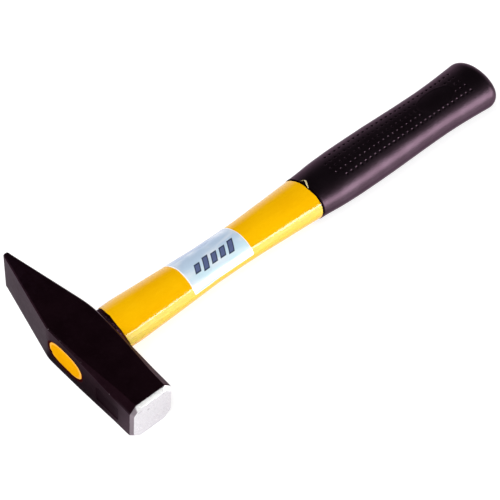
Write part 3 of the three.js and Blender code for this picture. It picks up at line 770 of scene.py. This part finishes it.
# front rim, rolled over and down to the collar
for dx, dr in ((0.35, -0.55), (0.10, -0.40), (0.0, -0.22), (0.06, -0.09), (0.22, -0.02), (0.55, 0.0), (1.1, 0.0), (2.0, 0.0)):
    ring = []
    for b in base_angles:
        a = jacket_angle(20.0, b)
        x = interp(FRONT, a % 360.0) + wiggle(a, 0.14, RAG) * max(0.0, 1 - dx) + dx
        ring.append(oval_at(x, jacket_half(x), a, dr + seam_off(b) * min(1.0, dx)))
    rings.append(ring)
for x in jx:
    if x < 155.0:
        rings.append([oval_at(x, jacket_half(x), jacket_angle(x, b), seam_off(b)) for b in base_angles])
for x, s in ((155.5, 0.0), (157.5, 0.0), (159.0, 0.0), (160.2, 0.12), (161.0, 0.8), (163.0, 2.9)):
    rings.append([oval_at(x, jacket_half(x) if s < 2 else grip_half(x), jacket_angle(min(x, 158.0), b), -s + seam_off(b) * (s == 0)) for b in base_angles])
for x in (175.0, 190.0, 215.0, 245.0, 272.0, 292.0):
    rings.append([oval_at(x, grip_half(x), jacket_angle(158.0, b), -2.9) for b in base_angles])
# bore for the rod, back to the front
for x, s in ((292.0, 0.0), (282.5, 0.0), (200.0, 0.0), (100.0, 0.0), (30.0, 0.0), (20.6, 0.0)):
    rings.append([oval_at(x, (9.5, 4.6), b) for b in base_angles])
rings.append([oval_at(20.6, collar_half(17.2), jacket_angle(20.0, b), 0.0) for b in base_angles])
rings.append([oval_at(interp(FRONT, jacket_angle(20.0, b) % 360.0) + 0.5, collar_half(17.2), jacket_angle(20.0, b), 0.08) for b in base_angles])
bm = skin(rings + [rings[0]], None, None)
bmesh.ops.remove_doubles(bm, verts=bm.verts, dist=1e-7)
jacket = new_piece("yellow_jacket", bm, "yellow_plastic", "handle_jacket", MAT_JACKET, 55)


# ------------------------------------------------------------------ label: a thin film bonded to the jacket
def label_point(u, a, off):
    l, r = interp(LABEL_L, a), interp(LABEL_R, a)
    d = min(a - LABEL_A[0], LABEL_A[1] - a) * 0.2
    cr = 1.1
    if d < cr:
        inset = cr - math.sqrt(max(0.0, cr * cr - (cr - d) ** 2))
        l, r = l + inset, r - inset
    x = lerp(l, r, u)
    half = jacket_half(x)
    lift = 0.0
    for c in (smooth_seam(x), 180 - smooth_seam(x)):
        dd = abs(a - c) * 0.21
        lift += 0.085 * math.exp(-((dd / 0.34) ** 2)) + 0.05 * math.exp(-((dd / 1.1) ** 2))
    return oval_at(x, half, a, off + lift)


la = [LABEL_A[0] + (LABEL_A[1] - LABEL_A[0]) * t for t in ([0, 0.002, 0.006, 0.012, 0.02, 0.03] + [0.04 + 0.92 * i / 60 for i in range(61)] + [0.97, 0.98, 0.988, 0.994, 0.998, 1.0])]
lu = [0, 0.002, 0.006] + [0.012 + 0.976 * i / 40 for i in range(41)] + [0.994, 0.998, 1.0]
bm = bmesh.new()
grid = {}
for layer in (0, 1):
    for i, a in enumerate(la):
        for j, u in enumerate(lu):
            rim = i in (0, len(la) - 1) or j in (0, len(lu) - 1)
            off = 0.03 if layer == 0 else (0.09 if rim else 0.15)
            grid[layer, i, j] = bm.verts.new(label_point(u, a, off))
for layer in (0, 1):
    for i in range(len(la) - 1):
        for j in range(len(lu) - 1):
            bm.faces.new([grid[layer, i, j], grid[layer, i + 1, j], grid[layer, i + 1, j + 1], grid[layer, i, j + 1]])
for i in range(len(la) - 1):
    for j in (0, len(lu) - 1):
        bm.faces.new([grid[0, i, j], grid[0, i + 1, j], grid[1, i + 1, j], grid[1, i, j]])
for j in range(len(lu) - 1):
    for i in (0, len(la) - 1):
        bm.faces.new([grid[0, i, j], grid[0, i, j + 1], grid[1, i, j + 1], grid[1, i, j]])
label = new_piece("film_label", bm, "label_foil", "foil_label", MAT_LABEL, 50)

# ------------------------------------------------------------------ grip sleeve with moulded dimples
ROWS = [(57.3, 181.3), (74.0, 177.1), (89.3, 177.3), (104.0, 177.8), (119.5, 182.2)]
PITCH, DOT_R, DOT_D, DEEP, LAST = 3.82, 0.92, 0.50, 1.10, 287.0
PAD = (262.4, 91.0, 13.9, 23.0)           # middle x, middle angle, half length, half angle
rows = ROWS + [(-a, x) for a, x in ROWS]
dots = []
for a0, x0 in rows:
    x = x0
    while x <= LAST:
        sa = 91.0 if a0 > 0 else -91.0
        if ((x - PAD[0]) / (PAD[2] + 0.9)) ** 2 + ((a0 - sa) / (PAD[3] + 2.6)) ** 2 > 1.0:
            dots.append((a0, x))
        x += PITCH
by_row = {}
for a0, x in dots:
    by_row.setdefault(a0, []).append(x)

g_ang = set()
for a0, _ in rows:
    for d in (0, 0.75, 1.5, 2.15, 2.7, 3.25, 4.2, 5.8, 7.6):
        g_ang.add(round(a0 + d, 3))
        g_ang.add(round(a0 - d, 3))
g_ang |= {float(a) for a in range(-45, 46, 4)}
g_ang |= {float(a) for a in range(131, 230, 4)}
g_ang = sorted({(a + 360.0) % 360.0 for a in g_ang})
g_ang = [a for i, a in enumerate(g_ang) if i == 0 or a - g_ang[i - 1] > 0.35]


def surf(x, a):
    """height of the moulded surface above the sleeve's plain oval, in mm"""
    aa = a if a <= 180 else a - 360.0
    h = 0.0
    for a0, _ in rows:
        if abs(aa - a0) < 3.6:
            half = grip_half(x)
            per = math.hypot(half[0] * math.sin(math.radians(a0)), half[1] * math.cos(math.radians(a0))) * math.pi / 180
            for xd in by_row[a0]:
                if abs(x - xd) < 1.0:
                    r = math.hypot(x - xd, (aa - a0) * per)
                    h -= (DEEP if abs(a0) < 60 else DOT_D) * (1 - smooth(0.35, DOT_R, r))
    sa = 91.0 if aa > 0 else -91.0
    q = math.sqrt(((x - PAD[0]) / PAD[2]) ** 2 + ((aa - sa) / PAD[3]) ** 2)
    h -= 0.13 * (1 - smooth(0.95, 1.03, q))
    h += 0.07 * math.exp(-(((q - 1.05) / 0.035) ** 2))
    return h


gx = [175.5 + 0.34 * i for i in range(int((289.5 - 175.5) / 0.34))]
outer_x = [160.4, 161.5, 163.0, 165.0, 167.0, 169.0, 171.0, 173.0, 174.4] + gx + [290.4, 291.6, 293.0, 294.6]
BR = 8.6
rings = []
# butt: crowned end, rounded shoulder
EDGE = grip_half(GRIP_END)
for f in (0.12, 0.35, 0.6, 0.82):
    rings.append([oval_at(GRIP_END - 0.02 - 0.22 * f**2, ((EDGE[0] - BR) * f, (EDGE[1] - BR) * f), a) for a in g_ang])
for i in range(0, 15):
    t = math.pi / 2 * (1 - i / 14)
    x = GRIP_END - BR + BR * math.sin(t) - 0.24 * math.sin(t) ** 6
    half = grip_half(x)
    rings.append([oval_at(x, half, a, -BR * (1 - math.cos(t))) for a in g_ang])
for x in reversed(outer_x):
    rings.append([oval_at(x, grip_half(x), a, surf(x, a)) for a in g_ang])
# front rim: soft lip that overhangs the jacket
for dx, dr in ((2.6, 0.0), (1.9, 0.015), (1.2, 0.03), (0.6, 0.0), (0.25, -0.10), (0.06, -0.25), (0.0, -0.42)):
    ring = []
    for a in g_ang:
        x0 = interp(RIM, a) + wiggle(a, 0.05, RAG)
        half = grip_half(max(x0 + dx, 157.3))
        ring.append(oval_at(x0 + dx, half, a, dr))
    rings.append(ring)
for dx, dr in ((0.12, 0.02), (1.4, 0.02)):
    ring = []
    for a in g_ang:
        x0 = interp(RIM, a) + wiggle(a, 0.05, RAG)
        ring.append(oval_at(x0 + dx, jacket_half(min(x0 + dx, 160.0)), a, dr))
    rings.append(ring)
for x, dr in ((160.6, -2.4), (163.0, -2.6), (190.0, -2.6), (245.0, -2.6), (284.0, -2.6), (292.3, -2.6)):
    rings.append([oval_at(x, grip_half(x), a, dr if x > 161 else 0.0) if x > 161 else oval_at(x, jacket_half(160.0), a, 0.02) for a in g_ang])
grip = new_piece("dimpled_grip", skin(rings), "grip_rubber", "grip_sleeve", MAT_GRIP, 60)

# ------------------------------------------------------------------ torn wisp of flash at the grip's front rim
def flash_material():
    n = Nodes("torn_flash")
    mid = n.noise(n.mm, 1.6, 3.0, 0.6)
    c = n.mix(n.step(mid, 0.35, 0.7), (0.50, 0.40, 0.16), (0.80, 0.72, 0.46))
    return n.finish(c, n.add(0.4, n.mul(mid, 0.2)), n.bump(n.mul(mid, 0.08), 0.001, 1.0), 0.0, Specular_IOR_Level=0.4)


path = [(157.61, 71.0, 0.12), (158.79, 73.2, 0.30), (159.75, 76.3, 0.44), (159.93, 80.0, 0.50), (159.20, 85.1, 0.46), (158.39, 89.9, 0.40), (157.80, 95.5, 0.30),
        (157.41, 98.4, 0.12)]
wide = [0.14, 0.36, 0.50, 0.66, 0.74, 0.66, 0.48, 0.14]
bm = bmesh.new()
secs = []
for (px, pa, ph), w in zip(path, wide):
    sec = []
    for du, dh in ((-1, 0.0), (-0.4, 0.09), (0.4, 0.07), (1, 0.0), (0.4, -0.06), (-0.4, -0.05)):
        sec.append(bm.verts.new(oval_at(px + du * w * 0.8, grip_half(max(px, 157.3)), pa + du * w * 1.2, ph + dh)))
    secs.append(sec)
for a, b in zip(secs, secs[1:]):
    for i in range(6):
        bm.faces.new((a[i], a[(i + 1) % 6], b[(i + 1) % 6], b[i]))
bm.faces.new(secs[0])
bm.faces.new(secs[-1])
flash = new_piece("flash_wisp", bm, "yellow_plastic", None, flash_material(), 60)
sub = flash.modifiers.new("soften", "SUBSURF")
sub.levels = sub.render_levels = 2

# ------------------------------------------------------------------ CAD pieces that stay
for name, mat in (("eye_resin", MAT_RESIN), ("fibreglass_core", MAT_FIBRE)):
    ob = frame["nodes"][name]
    ob.data.materials.clear()
    ob.data.materials.append(mat)

# ------------------------------------------------------------------ floor
zf = min(CAD_BOX[0].z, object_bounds()[0].z)
cx, cy = (CAD_BOX[0].x + CAD_BOX[1].x) / 2, (CAD_BOX[0].y + CAD_BOX[1].y) / 2
bm = bmesh.new()
bmesh.ops.create_grid(bm, x_segments=24, y_segments=24, size=4.0)
for v in bm.verts:
    v.co += Vector((cx, cy, zf - 0.00002))
floor_me = bpy.data.meshes.new("studio_floor")
bm.to_mesh(floor_me)
bm.free()
floor = bpy.data.objects.new("studio_floor", floor_me)
bpy.context.scene.collection.objects.link(floor)
n = Nodes("pale_paper")
fibre = n.noise(n.mm, 0.02, 4.0, 0.6)
floor_me.materials.append(n.finish(n.mix(n.mul(fibre, 0.35), (0.40, 0.40, 0.405), (0.385, 0.385, 0.39)), 0.9, None, 0.0, Specular_IOR_Level=0.0,
                                   Emission_Color=(1.0, 1.0, 1.0, 1.0), Emission_Strength=0.80))

# a dark, soft-edged card lying beside the eye-top side: only reflections see it; it stands in for the shaded floor
# there, so the eye-top face reflects darker towards the bottom
bm = bmesh.new()
cols = []
for t in (0.0, 0.25, 0.5, 0.75, 1.0):
    cols.append([bm.verts.new(W(lerp(-H - 30.0, interp(TOP, min(max(yq, 0.0), 66.0)) - 0.3, t), yq, -H + 0.4)) for yq in (-70.0, -56.0, -40.0, -10.0, 14.0, 26.0, 40.0, 54.0, 67.0, 80.0, 110.0)])
for a, b in zip(cols, cols[1:]):
    for i in range(len(a) - 1):
        bm.faces.new((a[i], a[i + 1], b[i + 1], b[i]))
flag = new_piece("studio_flag", bm)
n = Nodes("flag_cloth")
n.finish(n.mix(n.noise(n.mm, 0.4, 2.0, 0.5), (0.010, 0.008, 0.010), (0.016, 0.013, 0.016)), 1.0, None, 0.0, Specular_IOR_Level=0.0)
out_x = n.sub(n.x, n.step(n.y, 14.0, 66.0, 0.0, 8.0))
cover = n.mul(n.step(out_x, -H - 25.0, -H - 5.0, 0.10, 0.92), n.mul(n.step(n.y, -52.0, -22.0, 0.25, 1.0), n.step(n.y, 24.0, 15.0, 0.52, 1.0)))
n.t.links.new(cover, n.bsdf.inputs["Alpha"])
flag.data.materials.append(n.mat)
flag.visible_camera = flag.visible_diffuse = flag.visible_shadow = flag.visible_transmission = False

# ------------------------------------------------------------------ soft studio light
world = bpy.data.worlds.new("studio")
bpy.context.scene.world = world
world.use_nodes = True
wt = world.node_tree
wt.nodes.clear()
wo = wt.nodes.new("ShaderNodeOutputWorld")
bg = wt.nodes.new("ShaderNodeBackground")
wt.links.new(bg.outputs[0], wo.inputs[0])
tc = wt.nodes.new("ShaderNodeTexCoord")
sp = wt.nodes.new("ShaderNodeSeparateXYZ")
wt.links.new(tc.outputs["Generated"], sp.inputs[0])
lp = wt.nodes.new("ShaderNodeLightPath")
# pale wall near the horizon, dark ceiling; the camera sees the pale wall everywhere
wall = wt.nodes.new("ShaderNodeMapRange")
wall.interpolation_type = "SMOOTHSTEP"
wall.inputs["From Min"].default_value = 0.02
wall.inputs["From Max"].default_value = 0.50
wall.inputs["To Min"].default_value = 1.0
wall.inputs["To Max"].default_value = 0.006
wt.links.new(sp.outputs["Z"], wall.inputs["Value"])
mixv = wt.nodes.new("ShaderNodeMix")
mixv.data_type = "FLOAT"
mixv.inputs[3].default_value = 1.0
wt.links.new(lp.outputs["Is Camera Ray"], mixv.inputs[0])
wt.links.new(wall.outputs[0], mixv.inputs[2])
wt.links.new(mixv.outputs[0], bg.inputs["Strength"])
bg.inputs["Color"].default_value = (1.0, 1.0, 1.0, 1.0)


def panel_light(name, direction, distance, size, radiance, target=(0.0, 0.0, 0.013), glossy=True, colour=(1, 1, 1)):
    d = Vector(direction).normalized()
    li = bpy.data.lights.new(name, "AREA")
    li.shape = "RECTANGLE"
    li.size, li.size_y = size
    li.energy = radiance * math.pi * size[0] * size[1]
    li.color = colour
    ob = bpy.data.objects.new(name, li)
    ob.location = Vector(target) + d * distance
    ob.rotation_euler = (-d).to_track_quat("-Z", "Y").to_euler()
    bpy.context.scene.collection.objects.link(ob)
    ob.visible_glossy = glossy
    ob.visible_camera = False
    return ob


def elev(az, el):
    """unit vector; azimuth from +X towards +Y, in degrees"""
    a, e = math.radians(az), math.radians(el)
    return (math.cos(a) * math.cos(e), math.sin(a) * math.cos(e), math.sin(e))


key = panel_light("key_gloss", elev(-60, 13), 1.3, (1.5, 0.60), 11.0)
key.visible_diffuse = False
panel_light("key_soft", elev(-66, 16), 1.4, (1.5, 0.7), 2.6, glossy=False)
panel_light("fill_soft", elev(182, 56), 1.8, (1.9, 1.9), 4.0, glossy=False)
card = panel_light("reflector_card", (0.0, 0.0, 1.0), 0.1, (0.19, 0.60), 1.5)
card.location = W(266.0, -330.0, -H + 0.5)
card.rotation_euler = (math.pi, 0.0, 0.0)
card.visible_diffuse = False

# ------------------------------------------------------------------ camera
C = W(-308.382, -395.568, 703.967)
right = Vector((0.73236917, -0.67820983, 0.06055433))
up = Vector((0.50100965, 0.59696442, 0.62659621))
view = Vector((0.46111249, 0.42856145, -0.77698801))
cam_data = bpy.data.cameras.new("camera")
cam_data.sensor_width = 36.0
cam_data.lens = 1659.18 * 36.0 / 500.0
cam_data.clip_start, cam_data.clip_end = 0.02, 20.0
cam_data.dof.use_dof = False
cam = bpy.data.objects.new("camera", cam_data)
m = Matrix((right, up, -view)).transposed().to_4x4()
m.translation = C
cam.matrix_world = m
bpy.context.scene.collection.objects.link(cam)
bpy.context.scene.camera = cam
bpy.context.scene.view_settings.view_transform = "Standard"
bpy.context.scene.view_settings.look = "None"
bpy.context.scene.view_settings.exposure = 0.0
bpy.context.scene.view_settings.gamma = 1.0
